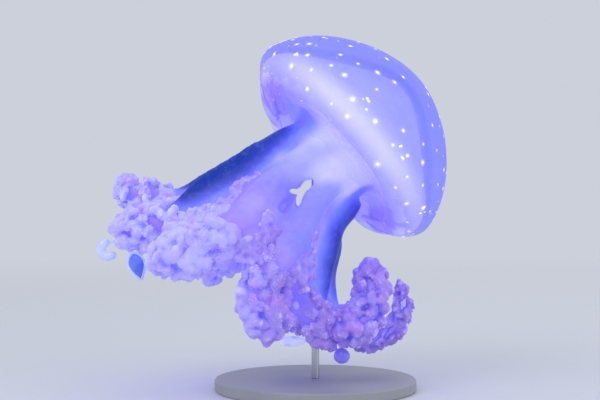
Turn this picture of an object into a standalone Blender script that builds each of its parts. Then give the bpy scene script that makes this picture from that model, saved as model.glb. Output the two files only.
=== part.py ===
"""Australian spotted jellyfish, a still life-size display model on a plain stand.

The bell leans over to +X with its eight oral arms trailing down and to -X, as the animal swims.
The origin is on the floor, under the middle of the model. Metres, +Z up, -Y is the near side.
"""

import bisect
import math

import bmesh
import bpy
from mathutils import Matrix, Vector

MM = 0.001

# Driving dimensions
BELL_RADIUS = 124.4 * MM
BELL_LEAN = math.radians(48.8)
BELL_NOD = math.radians(12)
NOD_DEPTH = 100 * MM
BELL_APEX = Vector((151.3, 0.0, 325.8)) * MM
FIT_GAP = 0.3 * MM
CROWN_GAP = 0.7 * MM

# Bell, as heights below the apex and radii from the bell's axis
DOME_DEPTH = 0.828 * BELL_RADIUS
DOME_POWER = 1.65
RIM_DEPTH = 1.118 * BELL_RADIUS
RIM_RADIUS = 0.62 * BELL_RADIUS
DOME_SHARE = 0.7
CROWN_THICKNESS = 27 * MM
RIM_THICKNESS = 5 * MM
THINNING_POWER = 2.6
BELL_STEPS = 48
WALL_STEPS = 14
LAPPETS = 16
LAPPET_SWING = 2.2 * MM
LIP_ROLL = Vector((-2.0, 0.5)) * MM
MARGIN_TUCK = 10 * MM
MARGIN_EASE = 1.3
WALL_PROBE = 0.01
MERGE_DISTANCE = 0.01 * MM

# Arm disc: a stout neck under the crown, hollowed between its four pillars
DISC_TOP_RADIUS = 58 * MM
DISC_WAIST_RADIUS = 50 * MM
DISC_WAIST_DEPTH = 88 * MM
DISC_FOOT_RADIUS = 63 * MM
DISC_FOOT_DEPTH = 150 * MM
DISC_DRIFT = Vector((5, 10, 0)) * MM
PILLARS = 4
PILLAR_RELIEF = 0.16
DISC_HOLLOW = Vector((-1.5, 0)) * MM
DISC_FOOT_TURN = 0.6
DISC_SKIN_SHARE = 0.8
CROWN_STEP = 0.05
DISC_STEPS = 24

# Oral arms
ARM_ROOT_RADIUS = 42 * MM
ARM_SIDES = 14
RING_SPACING = 10.5 * MM
FINE_STEPS = 240
ROOT_RINGS = 4
HEADING_PASSES = 4
ROOT_DROP = 24 * MM
ROOT_FLARE = 4 * MM
ROUND_END = 0.86
FRILL_START = 0.2
FRILL_RISE = 0.25
BEND_LIMIT = 0.62
KEEL_REACH = 0.3
KEEL_PINCH = 0.3
RUFFLE_DEPTH = 0.13
RUFFLE_LENGTH = 34 * MM
RUFFLE_FOLDS = 3
RUFFLE_LAG = 2.1
CROSS_RUFFLE = 0.6
CROSS_RUFFLE_PACE = 0.53
CROSS_RUFFLE_FOLDS = 5
TIP_SHARE = 0.2

# Each arm: bearing of its root about the bell's axis (0 is down and to +X, 90 the near side),
# the points its core passes through, and the radius at the root and at each of those points
ARMS = {
    "oral_arm_1": (
        26,
        [(45, -40, 157), (36, -48, 116), (43, -50, 80), (74, -48, 69), (98, -44, 90), (102, -40, 134)],
        [24, 25, 24, 24, 22, 22, 23],
    ),
    "oral_arm_2": (
        67,
        [(26, -67, 176), (4, -88, 137), (-8, -95, 105), (0, -92, 68)],
        [21, 24, 26, 27, 25],
    ),
    "oral_arm_3": (
        113,
        [(-4, -68, 206), (-32, -90, 177), (-58, -94, 157), (-85, -90, 146), (-116, -84, 141)],
        [21, 24, 26, 27, 25, 22],
    ),
    "oral_arm_4": (
        154,
        [(-11, -32, 224), (-44, -40, 203), (-78, -44, 182), (-112, -42, 171), (-157, -38, 166)],
        [22, 24, 24, 25, 26, 25],
    ),
    "oral_arm_5": (
        206,
        [(-16, 28, 224), (-48, 37, 203), (-89, 44, 190), (-125, 42, 194), (-166, 38, 212)],
        [22, 24, 24, 24, 23, 22],
    ),
    "oral_arm_6": (
        247,
        [(-1, 70, 196), (-27, 88, 160), (-50, 92, 136), (-69, 88, 121), (-80, 84, 106)],
        [21, 24, 26, 24, 20, 8],
    ),
    "oral_arm_7": (
        293,
        [(33, 64, 165), (14, 88, 116), (18, 96, 80), (40, 94, 60), (68, 90, 52)],
        [21, 24, 25, 24, 21, 16],
    ),
    "oral_arm_8": (
        334,
        [(62, 50, 150), (51, 47, 110), (61, 46, 72), (92, 46, 46), (123, 42, 54), (136, 38, 83), (129, 34, 112)],
        [20, 22, 23, 20, 14, 12, 11, 9],
    ),
}
ARM_FLATNESS = 0.45
FRILL_FLATNESS = 0.86
ARM_CUTS = {"upper": 0.0, "middle": 0.34, "tip": 0.68}

# Clubs that end the arms' filaments: the middle of each, and its sizes
CURLED_CLUB_PLACE = Vector((-166, -42, 148)) * MM
CURLED_CLUB_RADIUS = 7 * MM
CURLED_CLUB_TURN = (math.radians(75), math.radians(340))
CURLED_CLUB_THICKNESS = 4.8 * MM
CURLED_CLUB_STEPS = 13
CLUB_STALK_END = Vector((-154.6, -40, 158)) * MM
CLUB_STALK_RADIUS = 1.2 * MM
CURLED_CLUB_TAPER = 6
CURLED_CLUB_END = 0.25
LEAF_CLUB_TOP = Vector((-141, -39, 144)) * MM
LEAF_CLUB_TIP = Vector((-133, -39, 118)) * MM
LEAF_CLUB_WIDTH = 8.5 * MM
LEAF_CLUB_THICKNESS = 3 * MM
LEAF_CLUB_STEPS = 9
LEAF_CLUB_TOP_HEAVY = 0.75
LEAF_CLUB_FULLNESS = 0.8
LEAF_CLUB_END = 0.12
PAD_CLUB_PLACE = Vector((20, 86, 39.6)) * MM
PAD_CLUB_RADII = Vector((15, 7, 6)) * MM
BALL_CLUB_PLACE = Vector((70, -50, 41.2)) * MM
BALL_CLUB_RADIUS = 8 * MM
CLUB_SIDES = 10
ROUND_CLUB_SEGMENTS = 12
ROUND_CLUB_RINGS = 8

# Stand
BASE_RADIUS = 105 * MM
BASE_HEIGHT = 12 * MM
BASE_BEVEL = 1.5 * MM
STAND_PLACE = Vector((44, -3, 0)) * MM
BASE_STEPS = 48
ROD_RADIUS = 4 * MM
ROD_GAP = 0.5 * MM
ROD_STEPS = 24


def material(name, colour, roughness, metallic=0.0):
    """A plain Principled material."""
    made = bpy.data.materials.new(name)
    made.use_nodes = True
    shader = made.node_tree.nodes["Principled BSDF"]
    shader.inputs["Base Color"].default_value = (*colour, 1.0)
    shader.inputs["Roughness"].default_value = roughness
    shader.inputs["Metallic"].default_value = metallic
    made.diffuse_color = (*colour, 1.0)
    return made


def add_object(name, bm, collection, surface):
    """Turn a bmesh into a smooth-shaded object of one material."""
    bmesh.ops.recalc_face_normals(bm, faces=bm.faces)
    mesh = bpy.data.meshes.new(name)
    bm.to_mesh(mesh)
    bm.free()
    mesh.shade_smooth()
    mesh.set_sharp_from_angle(angle=math.radians(40))
    mesh.materials.append(surface)
    made = bpy.data.objects.new(name, mesh)
    collection.objects.link(made)
    return made


def bell_frame():
    """The bell's own frame: +Z is its axis, +X bearing 0 and -Y the near side, whose margin lifts."""
    lean = Matrix.Translation(BELL_APEX) @ Matrix.Rotation(BELL_LEAN, 4, "Y")
    pivot = Matrix.Translation((0, 0, -NOD_DEPTH))
    return lean @ pivot @ Matrix.Rotation(-BELL_NOD, 4, "X") @ pivot.inverted()


def signed_power(value, power):
    return math.copysign(abs(value) ** power, value)


def outer_wall(share):
    """Radius and depth of the bell's outer side, from the apex (0) to the rim (1)."""
    power = 2 / DOME_POWER
    if share <= DOME_SHARE:
        angle = math.radians(90) * share / DOME_SHARE
        radius = BELL_RADIUS * signed_power(math.sin(angle), power)
        return Vector((radius, DOME_DEPTH * (1 - signed_power(math.cos(angle), power))))
    angle = math.radians(90) * (share - DOME_SHARE) / (1 - DOME_SHARE)
    radius = RIM_RADIUS + (BELL_RADIUS - RIM_RADIUS) * signed_power(math.cos(angle), power)
    return Vector((radius, DOME_DEPTH + (RIM_DEPTH - DOME_DEPTH) * signed_power(math.sin(angle), power)))


def inner_wall(share, gap=0.0):
    """The bell's inner side: the outer side moved in by the jelly's thickness there."""
    ahead = outer_wall(min(1, share + WALL_PROBE))
    behind = outer_wall(max(0, share - WALL_PROBE))
    run = (ahead - behind).normalized()
    if share == 0:
        run = Vector((1, 0))
    thickness = RIM_THICKNESS + (CROWN_THICKNESS - RIM_THICKNESS) * (1 - share**THINNING_POWER)
    return outer_wall(share) + Vector((-run.y, run.x)) * (thickness + gap)


def spun(profile, steps):
    """Spin a profile of (radius, depth) points about Z into a closed body."""
    bm = bmesh.new()
    verts = [bm.verts.new((point[0], 0, -point[1])) for point in profile]
    edges = [bm.edges.new(pair) for pair in zip(verts, verts[1:])]
    bmesh.ops.spin(
        bm,
        geom=verts + edges,
        axis=(0, 0, 1),
        cent=(0, 0, 0),
        angle=math.tau,
        steps=steps,
        use_merge=True,
    )
    bmesh.ops.remove_doubles(bm, verts=bm.verts, dist=MERGE_DISTANCE)
    return bm


def make_bell(collection, surface):
    """A thick dome of jelly, open below, its rim rolled in and scalloped into lappets."""
    spots = [step / WALL_STEPS for step in range(WALL_STEPS + 1)]
    profile = [outer_wall(share) for share in spots]
    profile.append((outer_wall(1) + inner_wall(1)) / 2 + LIP_ROLL)
    profile += [inner_wall(share) for share in reversed(spots)]
    bm = spun(profile, BELL_STEPS)
    start = DOME_DEPTH
    for vert in bm.verts:
        depth = -vert.co.z
        if depth > start and vert.co.xy.length < BELL_RADIUS:
            near_rim = min(1, (depth - start) / (RIM_DEPTH - start)) ** MARGIN_EASE
            bearing = math.atan2(vert.co.y, vert.co.x)
            tucked = 1 - near_rim * MARGIN_TUCK * (0.5 - 0.5 * math.cos(bearing)) / vert.co.xy.length
            vert.co.x *= tucked
            vert.co.y *= tucked
            vert.co.z -= near_rim * LAPPET_SWING * math.cos(LAPPETS * bearing)
    bell = add_object("bell", bm, collection, surface)
    bell.matrix_world = bell_frame()
    return bell


def make_arm_disc(collection, surface):
    """The neck that carries the arms, with four pillars and a hollow between each two."""
    crown = []
    share = 0.0
    while inner_wall(share, CROWN_GAP)[0] < DISC_TOP_RADIUS:
        crown.append(inner_wall(share, CROWN_GAP))
        share += CROWN_STEP
    shoulder = crown[-1]
    waist = Vector((DISC_WAIST_RADIUS, DISC_WAIST_DEPTH))
    foot = Vector((DISC_FOOT_RADIUS, DISC_FOOT_DEPTH))
    side = [(shoulder + waist) / 2 + DISC_HOLLOW, waist, waist.lerp(foot, DISC_FOOT_TURN), foot]
    profile = crown + side + [Vector((DISC_FOOT_RADIUS / 2, DISC_FOOT_DEPTH)), Vector((0, DISC_FOOT_DEPTH))]
    bm = spun(profile, DISC_STEPS)
    for vert in bm.verts:
        depth = -vert.co.z
        middle = (shoulder.y + DISC_FOOT_DEPTH) / 2
        reach = (DISC_FOOT_DEPTH - shoulder.y) / 2
        hollow = max(0, 1 - ((depth - middle) / reach) ** 2)
        if vert.co.xy.length > DISC_SKIN_SHARE * DISC_WAIST_RADIUS:
            bearing = math.atan2(vert.co.y, vert.co.x)
            pull = 1 - PILLAR_RELIEF * hollow * (0.5 + 0.5 * math.cos(PILLARS * bearing))
            vert.co.x *= pull
            vert.co.y *= pull
        below_waist = max(0, (depth - DISC_WAIST_DEPTH) / (DISC_FOOT_DEPTH - DISC_WAIST_DEPTH))
        vert.co += DISC_DRIFT * below_waist**2
    disc = add_object("arm_disc", bm, collection, surface)
    disc.matrix_world = bell_frame()
    return disc


def curve_value(values, share):
    """Value at a share (0 to 1) of a smooth curve through evenly counted values."""
    spans = len(values) - 1
    place = min(max(share, 0), 1) * spans
    index = min(int(place), spans - 1)
    t = place - index
    one = values[index]
    two = values[index + 1]
    before = values[index - 1] if index > 0 else one * 2 - two
    after = values[index + 2] if index + 2 <= spans else two * 2 - one
    rise = (two - before) * 0.5
    fall = (after - one) * 0.5
    return (
        one * (2 * t**3 - 3 * t**2 + 1)
        + rise * (t**3 - 2 * t**2 + t)
        + two * (3 * t**2 - 2 * t**3)
        + fall * (t**3 - t**2)
    )


def even_shares(route, spacing):
    """Shares of a route that lie a like distance apart along it."""
    fine = [step / FINE_STEPS for step in range(FINE_STEPS + 1)]
    spots = [curve_value(route, share) for share in fine]
    run = [0.0]
    for one, two in zip(spots, spots[1:]):
        run.append(run[-1] + (two - one).length)
    count = round(run[-1] / spacing)
    shares = []
    for step in range(count + 1):
        goal = run[-1] * step / count
        index = min(bisect.bisect_right(run, goal), FINE_STEPS) - 1
        part = (goal - run[index]) / (run[index + 1] - run[index])
        shares.append(fine[index] + part / FINE_STEPS)
    return shares


def arm_route(bearing, points):
    """The arm's core line, from under the disc through its points, and the way its keel faces."""
    frame = bell_frame()
    turn = math.radians(bearing)
    outward = Vector((math.cos(turn), -math.sin(turn), 0))
    root = outward * ARM_ROOT_RADIUS + DISC_DRIFT + Vector((0, 0, -DISC_FOOT_DEPTH - FIT_GAP))
    below = root + Vector((0, 0, -ROOT_DROP)) + outward * ROOT_FLARE
    return [frame @ root, frame @ below] + [Vector(point) * MM for point in points], frame.to_3x3() @ outward


def arm_section(radius, frill, travel, bearing, outward, side):
    """Offsets round the core: a keel pinched on its outer side that turns into a ruffled frill."""
    flat = ARM_FLATNESS + (FRILL_FLATNESS - ARM_FLATNESS) * frill
    offsets = []
    for corner in range(ARM_SIDES):
        angle = math.tau * corner / ARM_SIDES
        wave = math.sin(math.tau * travel + RUFFLE_LAG * bearing) * math.cos(RUFFLE_FOLDS * angle + bearing)
        wave += CROSS_RUFFLE * math.cos(math.tau * travel * CROSS_RUFFLE_PACE + CROSS_RUFFLE_FOLDS * angle)
        keel = (1 - frill) * max(0, math.cos(angle))
        reach = radius * (1 + RUFFLE_DEPTH * frill * wave + KEEL_REACH * keel)
        width = reach * flat * (1 - KEEL_PINCH * keel)
        offsets.append(outward * reach * math.cos(angle) + side * width * math.sin(angle))
    return offsets


def arm_rings(bearing, points, radii):
    """Sections of the arm along its core, held back on the inside of a bend so that none cross."""
    route, outward = arm_route(bearing, points)
    sizes = [radii[0], radii[0]] + radii[1:]
    shares = even_shares(route, RING_SPACING)
    count = len(shares) - 1
    down = bell_frame().to_3x3() @ Vector((0, 0, -1))
    middles = [curve_value(route, share) for share in shares]
    headings = []
    for step in range(count + 1):
        heading = (middles[min(count, step + 1)] - middles[max(0, step - 1)]).normalized()
        headings.append(down.lerp(heading, min(1, step / ROOT_RINGS)).normalized())
    for _ in range(HEADING_PASSES):
        for step in range(1, count):
            headings[step] = (headings[step - 1] + headings[step] * 2 + headings[step + 1]).normalized()
    rings = []
    for step, (middle, heading) in enumerate(zip(middles, headings)):
        along = step / count
        outward = (outward - heading * outward.dot(heading)).normalized()
        behind, ahead = max(0, step - 1), min(count, step + 1)
        bend = (headings[ahead] - headings[behind]) / (middles[ahead] - middles[behind]).length
        end = max(0, (along - ROUND_END) / (1 - ROUND_END))
        radius = curve_value(sizes, shares[step]) * MM * max(TIP_SHARE, math.sqrt(1 - end**2))
        frill = min(1, max(0, (along - FRILL_START) / FRILL_RISE))
        travel = step * RING_SPACING / RUFFLE_LENGTH
        ring = []
        for offset in arm_section(radius, frill, travel, bearing, outward, heading.cross(outward)):
            crowding = offset.dot(bend) / BEND_LIMIT
            ring.append(middle + offset / max(1, crowding))
        rings.append(ring)
    return rings


def loft(rings):
    """Skin a row of like-numbered rings into a closed body."""
    bm = bmesh.new()
    loops = [[bm.verts.new(point) for point in ring] for ring in rings]
    for one, two in zip(loops, loops[1:]):
        for corner in range(len(one)):
            after = (corner + 1) % len(one)
            bm.faces.new((one[corner], one[after], two[after], two[corner]))
    bm.faces.new(loops[0])
    bm.faces.new(loops[-1])
    return bm


def make_arm(name, collection, surfaces):
    """One oral arm in three lengths, parted by thin cuts."""
    rings = arm_rings(*ARMS[name])
    last = len(rings) - 1
    cuts = [round(share * last) for share in ARM_CUTS.values()] + [last]
    for index, part in enumerate(ARM_CUTS):
        piece = [list(ring) for ring in rings[cuts[index] : cuts[index + 1] + 1]]
        if index > 0:
            first, second, third = piece[0][0], piece[0][ARM_SIDES // 4], piece[0][ARM_SIDES // 2 - 1]
            across = (second - first).cross(third - first).normalized()
            piece[0] = [point + across * FIT_GAP for point in piece[0]]
        add_object(f"{name}_{part}", loft(piece), collection, surfaces[part])


def circle(middle, first, second, radius):
    """Points round a circle that lies in the plane of two directions."""
    turns = [math.tau * corner / CLUB_SIDES for corner in range(CLUB_SIDES)]
    return [middle + (first * math.cos(turn) + second * math.sin(turn)) * radius for turn in turns]


def make_curled_club(collection, surface):
    """A club bent round on itself like a C at the end of a thin stalk."""
    rings = []
    start, stop = CURLED_CLUB_TURN
    across = Vector((0, 1, 0))
    for step in range(CURLED_CLUB_STEPS + 1):
        share = step / CURLED_CLUB_STEPS
        turn = start + (stop - start) * share
        spoke = Vector((math.cos(turn), 0, math.sin(turn)))
        swell = math.sqrt(1 - abs(2 * share - 1) ** CURLED_CLUB_TAPER)
        radius = CURLED_CLUB_THICKNESS * max(CURLED_CLUB_END, swell)
        middle = CURLED_CLUB_PLACE + spoke * CURLED_CLUB_RADIUS
        if step == 0:
            reach = CLUB_STALK_END - middle
            lift = reach.cross(across).normalized()
            rings.append(circle(CLUB_STALK_END, lift, across, CLUB_STALK_RADIUS))
            rings.append(circle(middle + reach / 2, lift, across, CLUB_STALK_RADIUS))
        rings.append(circle(middle, spoke, across, radius))
    add_object("club_curled", loft(rings), collection, surface)


def make_leaf_club(collection, surface):
    """A flat drop hanging from its stalk, round above and pointed below."""
    run = LEAF_CLUB_TIP - LEAF_CLUB_TOP
    side = run.normalized().cross(Vector((0, 1, 0)))
    rings = []
    for step in range(LEAF_CLUB_STEPS + 1):
        share = step / LEAF_CLUB_STEPS
        swell = max(LEAF_CLUB_END, math.sin(math.pi * share**LEAF_CLUB_TOP_HEAVY)) ** LEAF_CLUB_FULLNESS
        ring = []
        for corner in range(CLUB_SIDES):
            angle = math.tau * corner / CLUB_SIDES
            across = side * LEAF_CLUB_WIDTH * swell * math.cos(angle)
            through = Vector((0, 1, 0)) * LEAF_CLUB_THICKNESS * swell * math.sin(angle)
            ring.append(LEAF_CLUB_TOP + run * share + across + through)
        rings.append(ring)
    add_object("club_leaf", loft(rings), collection, surface)


def make_round_club(name, place, radii, collection, surface):
    """A plain rounded club."""
    bm = bmesh.new()
    stretch = Matrix.Diagonal((radii.x, radii.y, radii.z, 1))
    bmesh.ops.create_uvsphere(
        bm,
        u_segments=ROUND_CLUB_SEGMENTS,
        v_segments=ROUND_CLUB_RINGS,
        radius=1,
        matrix=Matrix.Translation(place) @ stretch,
    )
    add_object(name, bm, collection, surface)


def disc_foot_height(x, y):
    """Height of the arm disc's slanted underside above the floor."""
    frame = bell_frame()
    axis = frame.to_3x3() @ Vector((0, 0, 1))
    middle = frame @ Vector((0, 0, -DISC_FOOT_DEPTH))
    return middle.z - (axis.x * (x - middle.x) + axis.y * (y - middle.y)) / axis.z


def make_stand(collection, paint, steel):
    """A round base with a bevelled edge, and a rod up to the underside of the arm disc."""
    bm = bmesh.new()
    bmesh.ops.create_cone(
        bm,
        cap_ends=True,
        segments=BASE_STEPS,
        radius1=BASE_RADIUS,
        radius2=BASE_RADIUS,
        depth=BASE_HEIGHT,
        matrix=Matrix.Translation(STAND_PLACE + Vector((0, 0, BASE_HEIGHT / 2))),
    )
    base = add_object("stand_base", bm, collection, paint)
    bevel = base.modifiers.new("edge", "BEVEL")
    bevel.width = BASE_BEVEL
    bevel.segments = 1
    bm = bmesh.new()
    bmesh.ops.create_cone(
        bm,
        cap_ends=True,
        segments=ROD_STEPS,
        radius1=ROD_RADIUS,
        radius2=ROD_RADIUS,
        depth=1,
        matrix=Matrix.Translation(STAND_PLACE),
    )
    for vert in bm.verts:
        top = disc_foot_height(vert.co.x, vert.co.y) - ROD_GAP
        vert.co.z = top if vert.co.z > 0 else BASE_HEIGHT + FIT_GAP
    add_object("stand_rod", bm, collection, steel)


def main():
    for old in list(bpy.data.objects):
        bpy.data.objects.remove(old)
    parts = bpy.data.collections.new("spotted_jellyfish")
    bpy.context.scene.collection.children.link(parts)
    jelly = material("bell_jelly", (0.16, 0.2, 0.85), 0.2)
    flesh = material("arm_flesh", (0.3, 0.32, 0.9), 0.3)
    frill = material("frill_flesh", (0.42, 0.34, 0.9), 0.4)
    club = material("club_flesh", (0.6, 0.62, 0.97), 0.35)
    base = material("stand_base_paint", (0.5, 0.5, 0.52), 0.45)
    steel = material("stand_rod_steel", (0.55, 0.56, 0.58), 0.3, metallic=1.0)
    make_bell(parts, jelly)
    make_arm_disc(parts, flesh)
    for name in ARMS:
        make_arm(name, parts, {"upper": flesh, "middle": frill, "tip": frill})
    make_curled_club(parts, club)
    make_leaf_club(parts, club)
    make_round_club("club_pad", PAD_CLUB_PLACE, PAD_CLUB_RADII, parts, club)
    make_round_club("club_ball", BALL_CLUB_PLACE, Vector((1, 1, 1)) * BALL_CLUB_RADIUS, parts, club)
    make_stand(parts, base, steel)


main()
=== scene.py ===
"""Looks of the Australian spotted jellyfish: its jelly, skin, frills, clubs and stand.

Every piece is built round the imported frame, in metres: the bell leans over to +X, its oral arms trail
down and to -X, and -Y is the near side.
"""

import bisect
import math
import random

import bmesh
import bpy
import numpy as np
from mathutils import Euler, Matrix, Vector, kdtree, noise


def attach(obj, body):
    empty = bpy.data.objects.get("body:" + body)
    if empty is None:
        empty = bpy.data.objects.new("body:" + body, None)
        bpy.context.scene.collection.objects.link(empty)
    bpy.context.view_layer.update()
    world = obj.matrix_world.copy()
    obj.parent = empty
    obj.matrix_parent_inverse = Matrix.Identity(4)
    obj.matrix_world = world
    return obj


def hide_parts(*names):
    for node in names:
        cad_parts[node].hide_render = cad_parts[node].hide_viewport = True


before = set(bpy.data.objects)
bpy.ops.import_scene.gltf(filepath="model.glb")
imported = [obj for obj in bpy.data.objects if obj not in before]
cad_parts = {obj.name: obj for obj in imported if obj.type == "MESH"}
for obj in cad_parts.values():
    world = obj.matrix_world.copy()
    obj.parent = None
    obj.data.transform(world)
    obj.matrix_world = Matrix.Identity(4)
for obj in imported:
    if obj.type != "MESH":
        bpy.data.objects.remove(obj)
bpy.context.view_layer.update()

bl_info = {
    "name": "Spotted jellyfish",
    "version": (1, 0, 0),
    "blender": (4, 5, 0),
    "location": "View3D > Sidebar > Jellyfish",
    "description": "Builds a spotted jellyfish round its packed frame",
    "category": "Object",
}

MM = 0.001
BODY = "root"
FAR = Vector((0, 1, 0))

# Bell: how it leans and nods, then its outline in depths below the apex and radii from its axis
BELL_APEX = Vector((151.3, 0.0, 325.8)) * MM
BELL_LEAN = math.radians(48.8)
BELL_NOD = math.radians(12)
NOD_DEPTH = 100 * MM
BELL_RADIUS = 124.4 * MM
DOME_DEPTH = 0.828 * BELL_RADIUS
DOME_POWER = 1.65
DOME_SHARE = 0.7
RIM_DEPTH = 1.118 * BELL_RADIUS
RIM_RADIUS = 0.62 * BELL_RADIUS
WALL_PROBE = 0.01

# The bell's margin: its scallops, their fine flutes, and how far it is drawn in on its low side
LAPPETS = 16
LAPPET_SWING = 2.2 * MM
LAPPET_FLUTE = 0.012
MARGIN_TUCK = 10 * MM
MARGIN_EASE = 1.3

# The pale dome inside the jelly, as (radius, depth) in millimetres: down its outside, then back under its
# margin and down into the arm disc
DOME_TOP = (
    (0, 19), (14, 21.5), (28, 28), (42, 37), (55, 47), (68, 57.5), (80, 67.5), (92, 77), (104, 87), (113, 97),
    (118, 108),
)
DOME_UNDER = (
    (116, 119), (108, 128), (97, 132), (88, 129), (80, 121), (72, 115), (64, 116), (58, 124), (56, 134),
    (57, 146), (52, 152), (30, 155), (0, 156),
)
MARGIN_START = 74 * MM
CORE_STEPS = 96
# A painted highlight: a white line round the dome's shoulder, at this depth and width in millimetres and this
# strong
SHOULDER_DEPTH = 57
SHOULDER_WIDTH = 7
SHOULDER_HIGHLIGHT = 0.1
# Strength of the painted blue shade on the bell's -X side, above arms 4 and 5
BACK_BLUE_SHADE = 0.27
JELLY_STEPS = 160
JELLY_ROWS = 64

# Milky layers between the jelly's outside (0) and the dome (1)
HAZE_LAYERS = 6
HAZE_OUTERMOST = 0.5
HAZE_SPREAD = 0.46
HAZE_THICKNESS = 0.03
HAZE_REACH = 0.74
HAZE_STEPS = 96
HAZE_ROWS = 40

# White spots, the tries to find them room, clusters of small ones, and fine grains along the margin
SPOT_SEED = 11
SPOTS = 118
SPOT_TRIES = 6000
SPOT_CLUSTERS = 10
MARGIN_GRAINS = 70

# Arm disc
DISC_WAIST_RADIUS = 50 * MM
DISC_WAIST_DEPTH = 88 * MM
DISC_TOP_DEPTH = 34 * MM
DISC_FOOT_DEPTH = 150 * MM
DISC_DRIFT = Vector((5, 10, 0)) * MM
PILLARS = 4
PILLAR_RELIEF = 0.16
PILLAR_FADE = (100 * MM, 124 * MM)

# How every arm leaves the disc, bends and ends
ARM_ROOT_RADIUS = 42 * MM
ROOT_DROP = 24 * MM
ROOT_FLARE = 4 * MM
ROOT_BEND = 42 * MM
ROOT_SINK = 14 * MM
ROUND_END = 0.86
STATION_SPACING = 5 * MM
HEADING_PASSES = 28
FINE_STEPS = 240
KEEL_THICKNESS = 3.6 * MM

# Oral arms, by number: the root's bearing about the bell's axis, points along the core, radii at the root
# and points, where frills start and where they reach right round (shares of the length), how far the keel
# stands out and how blue it is, and the size of the frill lobes. Arms 1 and 8 are a little slimmer than
# their nodes.
ARMS = {
    1: dict(
        bearing=26, frills=(0.36, 0.62), keel=(0.25, 0.85), lobe=1.1,
        points=[(45, -40, 157), (36, -48, 116), (43, -50, 80), (74, -48, 69), (98, -44, 90), (102, -40, 134)],
        radii=[24, 25, 24, 24, 22, 23, 24],
    ),
    2: dict(
        bearing=67, frills=(0.42, 0.70), keel=(0.3, 0.08), lobe=1.15,
        points=[(26, -67, 176), (4, -88, 137), (-8, -95, 105), (0, -92, 68)],
        radii=[21, 24, 26, 27, 25],
    ),
    3: dict(
        bearing=113, frills=(0.34, 0.72), keel=(0.3, 0.08), lobe=1.35,
        points=[(-4, -68, 206), (-32, -90, 177), (-58, -94, 157), (-85, -90, 146), (-116, -84, 141)],
        radii=[21, 24, 26, 27, 25, 22],
    ),
    4: dict(
        bearing=154, frills=(0.46, 0.80), keel=(1.0, 1.0), lobe=0.95,
        points=[(-11, -32, 224), (-44, -40, 203), (-78, -44, 182), (-112, -42, 171), (-157, -38, 166)],
        radii=[22, 24, 24, 25, 26, 25],
    ),
    5: dict(
        bearing=206, frills=(0.48, 0.80), keel=(1.0, 1.0), lobe=0.85,
        points=[(-16, 28, 224), (-48, 37, 203), (-89, 44, 190), (-125, 42, 194), (-166, 38, 212)],
        radii=[22, 24, 24, 24, 23, 22],
    ),
    6: dict(
        bearing=247, frills=(0.42, 0.72), keel=(0.3, 0.08), lobe=1.1,
        points=[(-1, 70, 196), (-27, 88, 160), (-50, 92, 136), (-69, 88, 121), (-80, 84, 106)],
        radii=[21, 24, 26, 24, 20, 8],
    ),
    7: dict(
        bearing=293, frills=(0.42, 0.72), keel=(0.3, 0.08), lobe=1.0,
        points=[(33, 64, 165), (14, 88, 116), (18, 96, 80), (40, 94, 60), (68, 90, 52)],
        radii=[21, 24, 25, 24, 21, 16],
    ),
    8: dict(
        bearing=334, frills=(0.36, 0.60), keel=(0.25, 0.85), lobe=0.95,
        points=[
            (52, 50, 150), (44, 47, 110), (60, 46, 72), (92, 46, 46), (124, 42, 53), (139, 38, 83),
            (133, 34, 113),
        ],
        radii=[20, 22, 23, 20, 14, 13, 13, 12],
    ),
}
REPLACED = ["arm_disc"] + [f"oral_arm_{arm}_{part}" for arm in ARMS for part in ("upper", "middle", "tip")]

# Flesh between neighbouring arms, and the part of their length that it joins
WEBS = (
    (1, 2, 0.0, 0.66),
    (2, 3, 0.0, 0.13),
    (2, 3, 0.36, 0.70),
    (3, 4, 0.0, 0.80),
    (4, 5, 0.0, 0.86),
    (5, 6, 0.0, 0.60),
    (6, 7, 0.0, 0.13),
    (6, 7, 0.40, 0.60),
    (7, 8, 0.0, 0.55),
    (8, 1, 0.0, 0.45),
)
WEB_BULGE = 0.16
WEB_KNOBS = 330
WEB_FRILL_START = 0.26

# The ragged gap between the arms: its middle, its length from side to side, its reach in millimetres, how
# ragged that is, and its lobes as (bearing in degrees, length, narrowness)
GAP_MIDDLE = Vector((29, 0, 206)) * MM
GAP_LENGTH = 260 * MM
GAP_REACH = 5.0
GAP_RAGGED = 2.8
GAP_LOBES = ((48, 12.5, 7), (174, 8, 13), (256, 12, 13))
GAP_STEPS = 24
GAP_SIDES = 44

# Rows of frill lobes along an arm, the length of their waves, where frills count as begun, and end knobs
FRILL_ROWS = 6
FRILL_WAVE = 34 * MM
FRILL_BEGUN = 0.03
END_KNOBS = 16
BARE_ANGLE = math.radians(120)
WEB_SEED = 31
WEB_KNOB_SEED = 9

# Smoothing passes of the skins, and the fewest faces that an island of them may have
SKIN_PASSES = 14
FRILL_PASSES = 8
RELIEF_PASSES = 30
SKIN_LEAST = 400
FRILL_LEAST = 200
SKIN_SLIVER = 0.4 * MM

# Studio lamps as (name, place, size, power), all aimed at one point, and the camera
LAMP_AIM = Vector((0.03, 0.0, 0.2))
LAMPS = (
    ("key", (-0.9, -1.3, 1.5), 1.2, 10),
    ("fill", (1.5, -1.0, 0.7), 1.4, 5),
    ("back", (0.6, 1.4, 1.3), 1.2, 3),
)
CAMERA_PLACE = (0.028, -1.4, 0.217)
CAMERA_DIP = math.radians(0.8)
CAMERA_LENS = 80.64
CAMERA_SENSOR = 36
CLEAR_LAYERS = 40


def colour_property(name, description, default):
    """A colour the user may change."""
    return bpy.props.FloatVectorProperty(
        name=name, description=description, subtype="COLOR", size=3, min=0, max=1, default=default
    )


def length_property(name, description, default):
    """A length the user may change."""
    return bpy.props.FloatProperty(
        name=name, description=description, subtype="DISTANCE", unit="LENGTH", min=0, default=default
    )


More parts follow.
